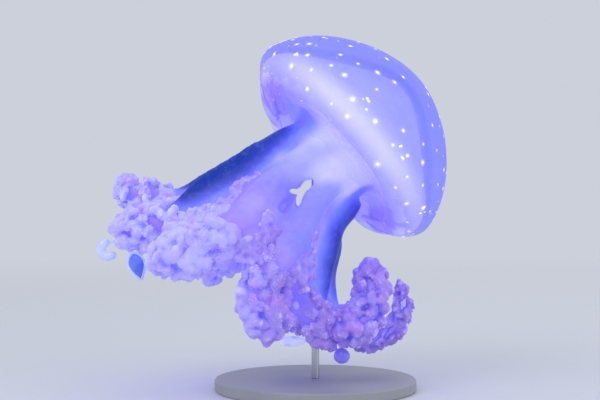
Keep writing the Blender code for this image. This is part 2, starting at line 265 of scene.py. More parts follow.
class BellSettings(bpy.types.PropertyGroup):
    """Sizes and colours of the bell."""

    jelly_colour: colour_property("Jelly", "Clear outer jelly of the bell", (0.03, 0.05, 0.85))
    haze_colour: colour_property("Haze", "Milky jelly round the core", (0.62, 0.62, 1.0))
    core_colour: colour_property("Core", "Pale middle of the bell", (0.60, 0.58, 1.0))
    spot_colour: colour_property("Spots", "White grains under the bell's skin", (0.93, 0.93, 1.0))
    spot_spacing: length_property("Spot spacing", "Usual distance between two spots", 0.021)
    spot_radius: length_property("Spot radius", "Radius of the largest spots", 0.0021)


class ArmSettings(bpy.types.PropertyGroup):
    """Sizes and colours of the oral arms."""

    keel_colour: colour_property("Keel", "Smooth outer keel of each arm", (0.006, 0.03, 0.26))
    # A painted highlight: a lighter blue line along the outer edge of each keel
    keel_edge_highlight: colour_property("Keel edge", "Thin outer edge of each keel", (0.004, 0.05, 0.36))
    flesh_colour: colour_property("Flesh", "Pale flesh inside the arms", (0.22, 0.21, 0.93))
    frill_colour: colour_property("Frill", "Rounded tops of the frills", (0.47, 0.44, 0.98))
    # Painted shade: the colour that darkens the folds between the frills
    fold_shade_colour: colour_property("Fold", "Deep folds between the frills", (0.12, 0.09, 0.62))
    blush_colour: colour_property("Blush", "Pinkish patches on the frills", (0.42, 0.20, 0.68))
    skin_voxel: length_property("Skin grain", "Mesh size of the one skin", 0.0024)
    frill_voxel: length_property("Frill grain", "Mesh size of the frills", 0.0011)


class StageSettings(bpy.types.PropertyGroup):
    """The floor and the studio round the model."""

    floor_colour: colour_property("Floor", "Plain pale floor", (0.74, 0.76, 0.80))
    wall_colour: colour_property("Background", "Plain pale background", (0.60, 0.63, 0.70))
    floor_radius: length_property("Floor radius", "How far the floor reaches", 14.0)


def signed_power(value, power):
    return math.copysign(abs(value) ** power, value)


def smooth_step(value, start, stop):
    """0 before start, 1 after stop, and an even rise between."""
    share = min(max((value - start) / (stop - start), 0), 1)
    return share * share * (3 - 2 * share)


def bell_frame():
    """The bell's own frame: +Z is its axis, +X bearing 0 and -Y the near side, whose margin lifts."""
    lean = Matrix.Translation(BELL_APEX) @ Matrix.Rotation(BELL_LEAN, 4, "Y")
    pivot = Matrix.Translation((0, 0, -NOD_DEPTH))
    return lean @ pivot @ Matrix.Rotation(-BELL_NOD, 4, "X") @ pivot.inverted()


def outer_wall(share):
    """Radius and depth of the bell's outer side, from the apex (0) to the rim (1)."""
    power = 2 / DOME_POWER
    if share <= DOME_SHARE:
        angle = math.radians(90) * share / DOME_SHARE
        radius = BELL_RADIUS * signed_power(math.sin(angle), power)
        return Vector((radius, DOME_DEPTH * (1 - signed_power(math.cos(angle), power))))
    angle = math.radians(90) * (share - DOME_SHARE) / (1 - DOME_SHARE)
    radius = RIM_RADIUS + (BELL_RADIUS - RIM_RADIUS) * signed_power(math.cos(angle), power)
    return Vector((radius, DOME_DEPTH + (RIM_DEPTH - DOME_DEPTH) * signed_power(math.sin(angle), power)))


def margin_shape(point):
    """Tuck and scallop the bell's margin, in the bell's own frame."""
    depth = -point.z
    if depth <= DOME_DEPTH or point.xy.length < RIM_RADIUS / 2:
        return point
    near_rim = min(1, (depth - DOME_DEPTH) / (RIM_DEPTH - DOME_DEPTH)) ** MARGIN_EASE
    bearing = math.atan2(point.y, point.x)
    tucked = 1 - near_rim * MARGIN_TUCK * (0.5 - 0.5 * math.cos(bearing)) / point.xy.length
    lappet = math.cos(LAPPETS * bearing)
    flute = LAPPET_FLUTE * near_rim * math.cos(2 * LAPPETS * bearing + 0.6)
    drop = near_rim * LAPPET_SWING * (lappet + 0.25 * math.cos(2 * LAPPETS * bearing))
    return Vector((point.x * (tucked + flute), point.y * (tucked + flute), point.z - drop))


def sideways(local):
    """How far a place on the bell faces to its near or far side (1), where the margin is thinnest."""
    return abs(local.y / max(local.xy.length, MM)) ** 1.6


def spun(profile, steps):
    """Spin a profile of (radius, depth) points about Z into a closed body."""
    bm = bmesh.new()
    verts = [bm.verts.new((max(0, point[0]), 0, -point[1])) for point in profile]
    edges = [bm.edges.new(pair) for pair in zip(verts, verts[1:])]
    bmesh.ops.spin(
        bm,
        geom=verts + edges,
        axis=(0, 0, 1),
        cent=(0, 0, 0),
        angle=math.tau,
        steps=steps,
        use_merge=True,
    )
    bmesh.ops.remove_doubles(bm, verts=bm.verts, dist=0.01 * MM)
    bmesh.ops.recalc_face_normals(bm, faces=bm.faces)
    return bm


def curve_value(values, share):
    """Value at a share (0 to 1) of a smooth curve through evenly counted values."""
    spans = len(values) - 1
    place = min(max(share, 0), 1) * spans
    index = min(int(place), spans - 1)
    t = place - index
    one = values[index]
    two = values[index + 1]
    before = values[index - 1] if index > 0 else one * 2 - two
    after = values[index + 2] if index + 2 <= spans else two * 2 - one
    rise = (two - before) * 0.5
    fall = (after - one) * 0.5
    return (
        one * (2 * t**3 - 3 * t**2 + 1)
        + rise * (t**3 - 2 * t**2 + t)
        + two * (3 * t**2 - 2 * t**3)
        + fall * (t**3 - t**2)
    )


def even_shares(route, spacing):
    """Shares of a route that lie a like distance apart along it."""
    fine = [step / FINE_STEPS for step in range(FINE_STEPS + 1)]
    spots = [curve_value(route, share) for share in fine]
    run = [0.0]
    for one, two in zip(spots, spots[1:]):
        run.append(run[-1] + (two - one).length)
    count = round(run[-1] / spacing)
    shares = []
    for step in range(count + 1):
        goal = run[-1] * step / count
        index = min(bisect.bisect_right(run, goal), FINE_STEPS) - 1
        part = (goal - run[index]) / (run[index + 1] - run[index])
        shares.append(fine[index] + part / FINE_STEPS)
    return shares


class Station:
    """One place along an arm: its middle, heading, the way its keel faces, and its radius, frill and keel."""

    def __init__(self, middle, heading, outward, radius, along=0, run=0, frill=0, keel=(0, 0)):
        self.middle = middle
        self.heading = heading
        self.outward = outward
        self.side = heading.cross(outward)
        self.radius = radius
        self.along = along
        self.run = run
        self.frill = frill
        self.keel, self.keel_tint = keel


def arm_stations(arm):
    """Stations along an oral arm, from under the disc to its end."""
    bell = bell_frame()
    turn = math.radians(arm["bearing"])
    outward = Vector((math.cos(turn), -math.sin(turn), 0))
    root = outward * ARM_ROOT_RADIUS + DISC_DRIFT + Vector((0, 0, -DISC_FOOT_DEPTH))
    below = root + Vector((0, 0, -ROOT_DROP)) + outward * ROOT_FLARE
    route = [bell @ root, bell @ below] + [Vector(point) * MM for point in arm["points"]]
    sizes = arm["radii"][:1] + arm["radii"]
    shares = even_shares(route, STATION_SPACING)
    count = len(shares) - 1
    down = bell.to_3x3() @ Vector((0, 0, -1))
    outward = bell.to_3x3() @ outward
    middles = [curve_value(route, share) for share in shares]
    headings = []
    for step in range(count + 1):
        heading = (middles[min(count, step + 1)] - middles[max(0, step - 1)]).normalized()
        headings.append(down.lerp(heading, min(1, step * STATION_SPACING / ROOT_BEND)).normalized())
    for _ in range(HEADING_PASSES):
        for step in range(1, count):
            headings[step] = (headings[step - 1] + headings[step] * 2 + headings[step + 1]).normalized()
    stations = []
    for step, (middle, heading) in enumerate(zip(middles, headings)):
        along = step / count
        outward = (outward - heading * outward.dot(heading)).normalized()
        end = max(0, (along - ROUND_END) / (1 - ROUND_END))
        radius = curve_value(sizes, shares[step]) * MM * max(0.2, math.sqrt(1 - end**2))
        frill = smooth_step(along, *arm["frills"])
        run = step * STATION_SPACING
        stations.append(Station(middle, heading, outward, radius, along, run, frill, arm["keel"]))
    return stations


def all_stations():
    return {number: arm_stations(arm) for number, arm in ARMS.items()}


def loft(bm, rings, endless=False):
    """Skin a row of like-numbered rings into a closed body inside bm, or into a ring of its own."""
    loops = [[bm.verts.new(point) for point in ring] for ring in rings]
    for one, two in zip(loops, loops[1:] + loops[:1] if endless else loops[1:]):
        for corner in range(len(one)):
            after = (corner + 1) % len(one)
            bm.faces.new((one[corner], one[after], two[after], two[corner]))
    if not endless:
        bm.faces.new(loops[0])
        bm.faces.new(loops[-1])


def lofted(rings, endless=False):
    """A closed body of its own through a row of rings."""
    bm = bmesh.new()
    loft(bm, rings, endless)
    bmesh.ops.recalc_face_normals(bm, faces=bm.faces)
    return bm


def oval(middle, first, second, sides=16, power=1.0):
    """Points round an oval with the given half-axes, blunter as power falls."""
    turns = [math.tau * corner / sides for corner in range(sides)]
    return [
        middle + first * signed_power(math.cos(turn), power) + second * signed_power(math.sin(turn), power)
        for turn in turns
    ]


def mesh_of(bm, name="raw"):
    """Turn a bmesh into a mesh and let the bmesh go."""
    mesh = bpy.data.meshes.new(name)
    bm.to_mesh(mesh)
    bm.free()
    return mesh


def put(name, content):
    """Show a mesh, a lamp or a camera in the scene."""
    holder = bpy.data.objects.new(name, content)
    bpy.context.scene.collection.objects.link(holder)
    return holder


def finished(name, shape, surface, nodes=()):
    """Turn a mesh or a bmesh into a smooth piece that rides on the body."""
    mesh = mesh_of(shape) if isinstance(shape, bmesh.types.BMesh) else shape
    mesh.name = name
    mesh.shade_smooth()
    mesh.materials.clear()
    mesh.materials.append(surface)
    piece = put(name, mesh)
    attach(piece, BODY)
    if nodes:
        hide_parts(*nodes)
    return piece


def modified(mesh, *changes):
    """A new mesh, made by modifiers given as (kind, settings), in place of the old one."""
    raw = put("raw", mesh)
    for kind, settings in changes:
        change = raw.modifiers.new(kind, kind)
        for key, value in settings.items():
            setattr(change, key, value)
    graph = bpy.context.evaluated_depsgraph_get()
    made = bpy.data.meshes.new_from_object(raw.evaluated_get(graph))
    bpy.data.objects.remove(raw)
    bpy.data.meshes.remove(mesh)
    return made


def remeshed(bm, voxel, passes):
    """One even closed skin round everything in bm."""
    wrap = ("REMESH", dict(mode="VOXEL", voxel_size=voxel))
    return modified(mesh_of(bm), wrap, ("SMOOTH", dict(factor=0.5, iterations=passes)))


def without_crumbs(mesh, least, sliver=0.05 * MM):
    """Take away a mesh's loose islands of fewer faces than least, and its slivers."""
    bm = bmesh.new()
    bm.from_mesh(mesh)
    bmesh.ops.remove_doubles(bm, verts=bm.verts, dist=sliver)
    bmesh.ops.triangulate(bm, faces=[face for face in bm.faces if len(face.verts) > 4])
    bmesh.ops.dissolve_degenerate(bm, dist=sliver, edges=bm.edges)
    bm.faces.index_update()
    seen = set()
    crumbs = []
    for face in bm.faces:
        if face.index in seen:
            continue
        seen.add(face.index)
        island = [face]
        for member in island:
            for edge in member.edges:
                joined = edge.link_faces if len(edge.link_faces) == 2 else ()
                fresh = [near for near in joined if near.index not in seen]
                seen.update(near.index for near in fresh)
                island += fresh
        if len(island) < least:
            crumbs += island
    bmesh.ops.delete(bm, geom=crumbs, context="FACES")
    bm.to_mesh(mesh)
    bm.free()


def add_values(mesh, name, values):
    """Store one number for each point of a mesh."""
    stored = mesh.attributes.new(name, "FLOAT", "POINT")
    stored.data.foreach_set("value", values)


def softened(mesh, values, passes):
    """Even out numbers over a mesh's neighbouring points."""
    count = len(mesh.vertices)
    ends = np.empty(len(mesh.edges) * 2, dtype=np.int32)
    mesh.edges.foreach_get("vertices", ends)
    one, two = ends[::2], ends[1::2]
    near = np.bincount(ends, minlength=count) + 1
    values = np.asarray(values, dtype=float)
    for _ in range(passes):
        total = values + np.bincount(one, values[two], count) + np.bincount(two, values[one], count)
        values = total / near
    return values


def relief(mesh, passes, reach):
    """How far each point stands out from its surroundings: 0 in a fold, 0.5 level, 1 on a knob."""
    count = len(mesh.vertices)
    places = np.empty(count * 3)
    mesh.vertices.foreach_get("co", places)
    places = places.reshape(-1, 3)
    facing = np.empty(count * 3)
    mesh.vertices.foreach_get("normal", facing)
    eased = np.stack([softened(mesh, places[:, axis], passes) for axis in range(3)], axis=1)
    stand = ((places - eased) * facing.reshape(-1, 3)).sum(axis=1)
    return np.clip(0.5 + stand / (2 * reach), 0, 1)


def lumps(point, size):
    """Rounded cells: 1 on the top of a cell and 0 in the groove between two."""
    distances = noise.voronoi(point / size)[0]
    return min(1, (distances[1] - distances[0]) * 1.6)


# Materials


class Recipe:
    """A short way to wire a procedural material."""

    SOCKETS = {
        "colour": "Base Color",
        "glow_colour": "Emission Color",
        "glow": "Emission Strength",
        "roughness": "Roughness",
        "metallic": "Metallic",
        "alpha": "Alpha",
        "coat": "Coat Weight",
        "coat_roughness": "Coat Roughness",
        "scatter": "Subsurface Weight",
        "scatter_scale": "Subsurface Scale",
        "scatter_reach": "Subsurface Radius",
        "specular": "Specular IOR Level",
        "normal": "Normal",
    }

    def __init__(self, name):
        self.material = bpy.data.materials.new(name)
        self.material.use_nodes = True
        self.tree = self.material.node_tree
        self.shader = self.tree.nodes["Principled BSDF"]
        self.place = self.node("ShaderNodeTexCoord").outputs["Object"]

    def feed(self, socket, given):
        """Give a socket another node's output, a number, or a colour or vector."""
        if isinstance(given, bpy.types.NodeSocket):
            self.tree.links.new(given, socket)
        elif isinstance(given, (int, float)):
            socket.default_value = given
        else:
            socket.default_value = (*given, 1.0)[: len(socket.default_value)]

    def node(self, kind, feeds=(), **settings):
        """A new node, with feeds as (socket, what it is given)."""
        made = self.tree.nodes.new(kind)
        for key, value in settings.items():
            setattr(made, key, value)
        for socket, given in feeds:
            self.feed(made.inputs[socket], given)
        return made

    def value(self, name):
        """A number stored on the mesh."""
        return self.node("ShaderNodeAttribute", attribute_name=name).outputs["Fac"]

    def noise(self, scale, detail=3.0, roughness=0.5, place=None):
        place = place or self.place
        feeds = ("Scale", scale), ("Detail", detail), ("Roughness", roughness), ("Vector", place)
        return self.node("ShaderNodeTexNoise", feeds).outputs["Fac"]

    def cells(self, scale):
        feeds = ("Scale", scale), ("Vector", self.place)
        return self.node("ShaderNodeTexVoronoi", feeds, feature="SMOOTH_F1").outputs["Distance"]

    def remap(self, source, low, high, to_low, to_high):
        """Ease from one number to another as a source rises from low to high."""
        spans = ("From Min", low), ("From Max", high), ("To Min", to_low), ("To Max", to_high)
        feeds = (*spans, ("Value", source))
        return self.node("ShaderNodeMapRange", feeds, interpolation_type="SMOOTHSTEP").outputs["Result"]

    def maths(self, operation, one, two):
        return self.node("ShaderNodeMath", ((0, one), (1, two)), operation=operation).outputs[0]

    def mix(self, share, one, two):
        return self.node("ShaderNodeMix", ((0, share), (6, one), (7, two)), data_type="RGBA").outputs[2]

    def over(self, colour, shade, source, low, high, most=1.0):
        """A colour with a shade laid over it, up to most of it, as a source rises from low to high."""
        return self.mix(self.remap(source, low, high, 0.0, most), colour, shade)

    def bump(self, height, distance, strength):
        feeds = ("Distance", distance), ("Strength", strength), ("Height", height)
        self.set(normal=self.node("ShaderNodeBump", feeds).outputs["Normal"])

    def set(self, **values):
        for key, given in values.items():
            self.feed(self.shader.inputs[self.SOCKETS[key]], given)

    def rough(self, source, low, high):
        """Roughness that varies between two numbers with a grain."""
        self.set(roughness=self.remap(source, 0.3, 0.7, low, high))

    def paint(self, colour, glow):
        """The same colour for the surface and for its faint painted glow."""
        self.set(colour=colour, glow_colour=colour, glow=glow)


# Shades that go with the colours a user can change
THIN_JELLY = (0.22, 0.15, 0.80)
BLUE_DRIFT = (0.08, 0.10, 0.92)
OUTER_HAZE = (0.14, 0.17, 0.96)
HAZE_DRIFT = (0.40, 0.43, 1.0)
VIOLET_FLESH = (0.29, 0.20, 0.80)
LIGHT_FLESH = (0.50, 0.46, 0.97)
FRILLED_FLESH = (0.29, 0.20, 0.78)
CORE_DRIFT = (0.72, 0.70, 1.0)
# White of the painted highlight line round the dome's shoulder
HIGHLIGHT_WHITE = (0.98, 0.98, 1.0)
CROWN_WHITE = (0.74, 0.73, 1.0)
PALE_NECK = (0.60, 0.59, 1.0)
BLUE_NECK = (0.28, 0.31, 0.98)
VIOLET_UNDERSIDE = (0.44, 0.25, 0.80)
KEEL_BORDER = (0.20, 0.24, 0.96)
KEEL_SLOPE = (0.085, 0.105, 0.64)
SKIN_GRAIN = (0.66, 0.66, 1.0)
VIOLET_FRILL = (0.27, 0.17, 0.66)
# Painted shade in the frills' folds, and painted highlight on their highest knobs
BLUE_FOLD_SHADE = (0.25, 0.24, 0.93)
FRILL_TIP_HIGHLIGHT = (0.72, 0.70, 1.0)
FRILL_GRAIN = (0.66, 0.64, 1.0)
SPOT_GRAIN = (0.78, 0.76, 1.0)
GLOW_EDGE = (0.66, 0.68, 1.0)
FLESH_SCATTER = (0.6, 0.6, 1.2)

# How strongly each piece glows, a painted glow for the light that its depth holds, and how clear its thin
# parts are
JELLY_GLOW = 0.30
HAZE_GLOW = 0.38
SKIN_GLOW = 0.38
FRILL_GLOW = 0.32
SPOT_GLOW = 0.55
HALO_GLOW = 0.45
CLUB_GLOW = 0.45
LIP_VEIL = 0.15
MARGIN_CLEAR = 0.94
KEEL_CLEAR = 0.16


def jelly_material(bell):
    """Clear blue wet jelly, a little milky in drifts."""
    recipe = Recipe("bell_jelly_clear")
    thick = recipe.value("thick")
    deep = recipe.mix(thick, THIN_JELLY, bell.jelly_colour)
    recipe.paint(recipe.over(deep, BLUE_DRIFT, recipe.noise(9.0, 2.0), 0.35, 0.75, 0.3), JELLY_GLOW)
    veil = recipe.remap(recipe.value("lip"), 0.0, 1.0, 1.0, LIP_VEIL)
    recipe.set(alpha=recipe.maths("MULTIPLY", recipe.remap(thick, 0.0, 1.0, 0.28, 0.40), veil), specular=0.08)
    recipe.rough(recipe.noise(60.0), 0.36, 0.52)
    recipe.bump(recipe.noise(45.0, 4.0), 0.0006, 0.25)
    return recipe.material


def haze_material(bell, inward):
    """Milky inner jelly with soft drifts, thicker further in."""
    recipe = Recipe("bell_haze")
    drift = recipe.noise(14.0, 2.0)
    shade = Vector(OUTER_HAZE).lerp(Vector(bell.haze_colour), inward)
    recipe.paint(recipe.over(shade, HAZE_DRIFT, drift, 0.3, 0.7, 0.3), HAZE_GLOW)
    thick = 0.03 + 0.11 * inward
    milk = recipe.remap(drift, 0.2, 0.8, thick * 1.3, thick * 0.7)
    recipe.set(alpha=recipe.maths("MULTIPLY", milk, recipe.value("fade")), roughness=0.6, specular=0.0)
    return recipe.material


def skin_material(bell, arms):
    """The one skin: pale dome, blue keels, and flesh that turns to violet."""
    recipe = Recipe("one_skin")
    keel = recipe.value("keel")
    core = recipe.value("core")
    drift = recipe.noise(22.0, 3.0)
    fine = recipe.noise(140.0, 4.0, 0.6)
    flesh = recipe.over(arms.flesh_colour, VIOLET_FLESH, recipe.noise(11.0, 2.0, 0.6), 0.36, 0.62)
    flesh = recipe.over(flesh, LIGHT_FLESH, drift, 0.45, 0.75, 0.45)
    flesh = recipe.over(flesh, FRILLED_FLESH, recipe.value("frill"), 0.1, 0.8, 0.7)
    blush = recipe.remap(recipe.noise(30.0, 2.0), 0.54, 0.70, 0.0, 0.7)
    blush = recipe.maths("MULTIPLY", blush, recipe.remap(core, 0.0, 0.5, 1.0, 0.0))
    flesh = recipe.mix(blush, flesh, arms.blush_colour)
    pale = recipe.over(bell.core_colour, CORE_DRIFT, drift, 0.35, 0.75, 0.3)
    # Painted highlight: a white line round the dome's shoulder
    pale = recipe.mix(recipe.value("shoulder_highlight"), pale, HIGHLIGHT_WHITE)
    pale = recipe.mix(recipe.value("crown"), pale, CROWN_WHITE)
    neck = recipe.over(PALE_NECK, BLUE_NECK, recipe.noise(17.0, 1.0), 0.42, 0.62)
    pale = recipe.mix(recipe.value("neck"), pale, neck)
    pale = recipe.over(pale, VIOLET_UNDERSIDE, recipe.value("under"), 0.0, 1.0, 0.85)
    colour = recipe.mix(core, flesh, pale)
    for shade, low, high, most in (
        (KEEL_BORDER, 0.0, 0.3, 1.0),
        (KEEL_SLOPE, 0.2, 0.65, 1.0),
        (arms.keel_colour, 0.5, 0.95, 1.0),
        # Painted highlight along the outer edge of each keel
        (arms.keel_edge_highlight, 0.85, 1.0, 0.5),
    ):
        colour = recipe.over(colour, shade, keel, low, high, most)
    recipe.paint(recipe.over(colour, SKIN_GRAIN, fine, 0.45, 0.75, 0.07), SKIN_GLOW)
    clear = recipe.maths("MULTIPLY", recipe.value("margin"), MARGIN_CLEAR)
    clear = recipe.maths("MAXIMUM", clear, recipe.remap(keel, 0.35, 0.95, 0.0, KEEL_CLEAR))
    recipe.set(alpha=recipe.maths("SUBTRACT", 1.0, clear), specular=0.25)
    recipe.set(scatter=0.25, scatter_scale=0.006, scatter_reach=FLESH_SCATTER)
    recipe.rough(fine, 0.28, 0.44)
    recipe.bump(recipe.maths("ADD", fine, recipe.noise(60.0, 3.0)), 0.0006, 0.3)
    return recipe.material


def frill_material(arms):
    """Soft knobbed frills: pale tops with painted highlights on the highest knobs, violet folds darkened by
    painted shade, and pinkish patches, paler towards the raised arms.
    """
    recipe = Recipe("frill_knobs")
    height = recipe.value("height")
    grain = recipe.noise(180.0, 4.0, 0.6)
    across = recipe.node("ShaderNodeSeparateXYZ", ((0, recipe.place),)).outputs["X"]
    violet = recipe.remap(across, -0.09, 0.03, 0.15, 0.85)
    violet = recipe.maths("ADD", violet, recipe.remap(recipe.noise(26.0, 2.0), 0.35, 0.65, -0.15, 0.15))
    top = recipe.mix(violet, arms.frill_colour, VIOLET_FRILL)
    # Painted shade: darker in the folds and lighter on the tops, by how far each point stands out
    fold = recipe.mix(violet, BLUE_FOLD_SHADE, arms.fold_shade_colour)
    colour = recipe.over(fold, top, height, 0.15, 0.6)
    colour = recipe.over(colour, arms.blush_colour, recipe.noise(34.0, 2.0), 0.56, 0.72, 0.6)
    # Painted highlight on the highest knobs
    colour = recipe.over(colour, FRILL_TIP_HIGHLIGHT, height, 0.72, 1.0, 0.45)
    recipe.paint(recipe.over(colour, FRILL_GRAIN, grain, 0.5, 0.8, 0.3), FRILL_GLOW)
    recipe.set(scatter=0.3, scatter_scale=0.005, scatter_reach=FLESH_SCATTER, coat=0.1, coat_roughness=0.25)
    recipe.rough(grain, 0.30, 0.5)
    recipe.bump(recipe.maths("ADD", grain, recipe.cells(230.0)), 0.0009, 0.5)
    return recipe.material


def spot_material(bell):
    """White grains that catch the light, with a painted glow."""
    recipe = Recipe("spot_grains")
    grain = recipe.noise(400.0, 2.0)
    recipe.paint(recipe.over(bell.spot_colour, SPOT_GRAIN, grain, 0.35, 0.7, 0.5), SPOT_GLOW)
    recipe.set(specular=0.5)
    recipe.rough(grain, 0.2, 0.4)
    recipe.bump(grain, 0.0003, 0.4)
    return recipe.material


def glow_material(bell):
    """The soft milky ring in the jelly round a spot, lit by a painted glow."""
    recipe = Recipe("spot_glow")
    colour = recipe.over(bell.spot_colour, GLOW_EDGE, recipe.noise(200.0, 2.0), 0.35, 0.7, 0.4)
    recipe.paint(colour, HALO_GLOW)
    recipe.set(alpha=recipe.maths("MULTIPLY", recipe.value("fade"), 0.4), roughness=0.6, specular=0.0)
    return recipe.material


def club_material(name, body, edge):
    """Wet club: a paler skin over a tinted middle."""
    recipe = Recipe(name)
    grain = recipe.noise(150.0, 3.0)
    recipe.paint(recipe.over(body, edge, recipe.noise(60.0, 2.0), 0.35, 0.65), CLUB_GLOW)
    recipe.set(scatter=0.3, scatter_scale=0.004, coat=0.2, coat_roughness=0.15)
    recipe.rough(grain, 0.22, 0.4)
    recipe.bump(grain, 0.0005, 0.5)
    return recipe.material


def base_material():
    """Satin grey paint with a fine orange-peel and faint handling wear."""
    recipe = Recipe("stand_paint")
    cloud = recipe.noise(7.0, 4.0, 0.6)
    colour = recipe.over((0.30, 0.31, 0.33), (0.36, 0.37, 0.39), cloud, 0.35, 0.7)
    scuffs = recipe.noise(40.0, 6.0, 0.75)
    recipe.set(colour=recipe.over(colour, (0.46, 0.47, 0.49), scuffs, 0.60, 0.72, 0.35))
    recipe.set(coat=0.1, coat_roughness=0.3)
    recipe.rough(cloud, 0.36, 0.5)
    recipe.bump(recipe.noise(900.0, 2.0), 0.0002, 0.3)
    return recipe.material


def steel_material():
    """Brushed steel, drawn along the rod."""
    recipe = Recipe("stand_steel")
    feeds = ("Scale", (900.0, 900.0, 9.0)), ("Vector", recipe.place)
    drawn = recipe.node("ShaderNodeMapping", feeds).outputs["Vector"]
    brushed = recipe.noise(1.0, 4.0, place=drawn)
    colour = recipe.over((0.50, 0.51, 0.53), (0.66, 0.67, 0.69), brushed, 0.3, 0.7)
    recipe.set(colour=recipe.over(colour, (0.42, 0.43, 0.45), recipe.noise(30.0), 0.5, 0.75, 0.4))
    recipe.set(metallic=1.0)
    recipe.rough(brushed, 0.22, 0.42)
    recipe.bump(brushed, 0.0001, 0.3)
    return recipe.material


def floor_material(stage):
    """A plain pale floor that passes into the background with distance."""
    recipe = Recipe("studio_floor")
    recipe.set(colour=recipe.over(stage.floor_colour, (0.8, 0.81, 0.84), recipe.noise(1.5), 0.3, 0.7, 0.15))
    recipe.set(roughness=0.7, specular=0.2)
    far = recipe.node("ShaderNodeVectorMath", ((0, recipe.place),), operation="LENGTH").outputs["Value"]
    glow = recipe.node("ShaderNodeEmission", (("Color", stage.wall_colour),)).outputs[0]
    feeds = (0, recipe.remap(far, 0.35, 2.6, 0.0, 1.0)), (1, recipe.shader.outputs[0]), (2, glow)
    blend = recipe.node("ShaderNodeMixShader", feeds).outputs[0]
    recipe.feed(recipe.tree.nodes["Material Output"].inputs["Surface"], blend)
    return recipe.material


# Pieces


def jelly_body(steps, rows):
    """The clear jelly: the bell's outer side, closed just inside the pale dome, in the bell's own frame."""
    profile = [outer_wall(row / rows) for row in range(rows + 1)]
    inside = [Vector((row[0] * 0.95, row[1] + 4)) * MM for row in reversed(DOME_TOP)]
    lip = Vector((RIM_RADIUS * 0.97, RIM_DEPTH - 5 * MM))
    hollow = Vector((108, 116)) * MM
    profile += [lip, lip.lerp(hollow, 0.4), hollow] + inside
    return spun(profile, steps)


def milk_shell(inward, steps, rows):
    """A thin closed layer between the jelly's outside (0) and the pale dome (1), in the bell's own frame."""
    dome = [Vector(row) * MM for row in DOME_TOP]
    profile = []
    for depth, order in ((inward, range(rows + 1)), (inward + HAZE_THICKNESS, range(rows, -1, -1))):
        for row in order:
            outside = outer_wall(HAZE_REACH * row / rows)
            profile.append(outside.lerp(curve_value(dome, row / rows), depth))
    return spun(profile, steps)


def disc_shape(point):
    """Hollow the disc between its pillars and let its foot drift, in the bell's own frame."""
    depth = -point.z
    middle = 0.5 * (DISC_TOP_DEPTH + DISC_FOOT_DEPTH)
    reach = 0.5 * (DISC_FOOT_DEPTH - DISC_TOP_DEPTH)
    pull = 1.0
    if point.xy.length > 0.7 * DISC_WAIST_RADIUS:
        hollow = max(0, 1 - ((depth - middle) / reach) ** 2) * smooth_step(depth, *PILLAR_FADE)
        pull -= PILLAR_RELIEF * hollow * (0.5 + 0.5 * math.cos(PILLARS * math.atan2(point.y, point.x)))
    below = max(0, (depth - DISC_WAIST_DEPTH) / (DISC_FOOT_DEPTH - DISC_WAIST_DEPTH))
    return Vector((point.x * pull, point.y * pull, point.z)) + DISC_DRIFT * below**2


def web_place(one, two, share):
    """The web of two arms: its middle, half its width, its lift, its outward way, its thickness and run."""
    first = one[round(share * (len(one) - 1))]
    second = two[round(share * (len(two) - 1))]
    outward = (first.outward + second.outward).normalized()
    heading = (first.heading + second.heading).normalized()
    across = (second.middle - first.middle) / 2
    radius = (first.radius + second.radius) / 2
    middle = (first.middle + second.middle) / 2 + outward * radius * WEB_BULGE
    thick = radius * (0.5 - 0.2 * share)
    return middle, across, heading.cross(across).normalized(), outward, thick, first.run


def web_rings(one, two, start, stop):
    """Sections of the flesh that fills the gap between two neighbouring arms."""
    rings = []
    steps = max(4, round((stop - start) * min(len(one), len(two))))
    for step in range(steps + 1):
        middle, across, lift, _, thick, _ = web_place(one, two, start + (stop - start) * step / steps)
        fade = math.sqrt(max(0.04, 1 - (2 * step / steps - 1) ** 6))
        rings.append(oval(middle, across * fade, lift * thick * fade))
    return rings


def arm_ring(station):
    """A section of the arm's flesh, slimmer where frills cover it."""
    reach = station.radius * (1 - 0.38 * station.frill)
    flat = 0.72 + 0.16 * station.frill
    middle = station.middle + station.outward * station.radius * 0.02
    return oval(middle, station.outward * reach, station.side * reach * flat, 24)


def keel_ring(station):
    """A section of the thin keel along the arm's outer side."""
    stand = (1 - station.frill) * smooth_step(station.along, 0.0, 0.22) * station.keel
    reach = station.radius * (0.25 + 0.32 * stand)
    middle = station.middle + station.outward * station.radius * (0.45 + 0.45 * stand)
    return oval(middle, station.outward * reach, station.side * KEEL_THICKNESS, 20, 0.6)


def pierced(mesh):
    """Open the ragged gap that runs between the arms right through the animal."""
    rings = []
    for step in range(GAP_STEPS + 1):
        share = step / GAP_STEPS
        middle = GAP_MIDDLE + FAR * GAP_LENGTH * (share - 0.5)
        ring = []
        for corner in range(GAP_SIDES):
            turn = math.tau * corner / GAP_SIDES
            spoke = Vector((math.cos(turn), 0, math.sin(turn)))
            reach = GAP_REACH + GAP_RAGGED * noise.noise(spoke * 4.1 + Vector((0, share * 9, 0)))
            for bearing, length, narrow in GAP_LOBES:
                reach += length * max(0, math.cos(turn - math.radians(bearing))) ** narrow
            ring.append(middle + spoke * reach * MM)
        rings.append(ring)
    cutter_mesh = mesh_of(lofted(rings))
    cutter = put("gap", cutter_mesh)
    cut = ("BOOLEAN", dict(object=cutter, operation="DIFFERENCE", solver="EXACT"))
    made = modified(mesh, cut, ("SMOOTH", dict(factor=0.5, iterations=2)))
    bpy.data.objects.remove(cutter)
    bpy.data.meshes.remove(cutter_mesh)
    return made


def keel_share(point, stations):
    """How blue a place is for lying on the keel of the nearest stretches of arm."""
    most = 0
    for station in stations:
        spoke = point - station.middle
        aside = 1 - smooth_step(abs(spoke.dot(station.side)) / station.radius, 0.75, 1.0)
        out = smooth_step(spoke.dot(station.outward) / station.radius, 0.15, 1.15)
        most = max(most, out * aside * (1 - station.frill) * station.keel_tint)
    return most


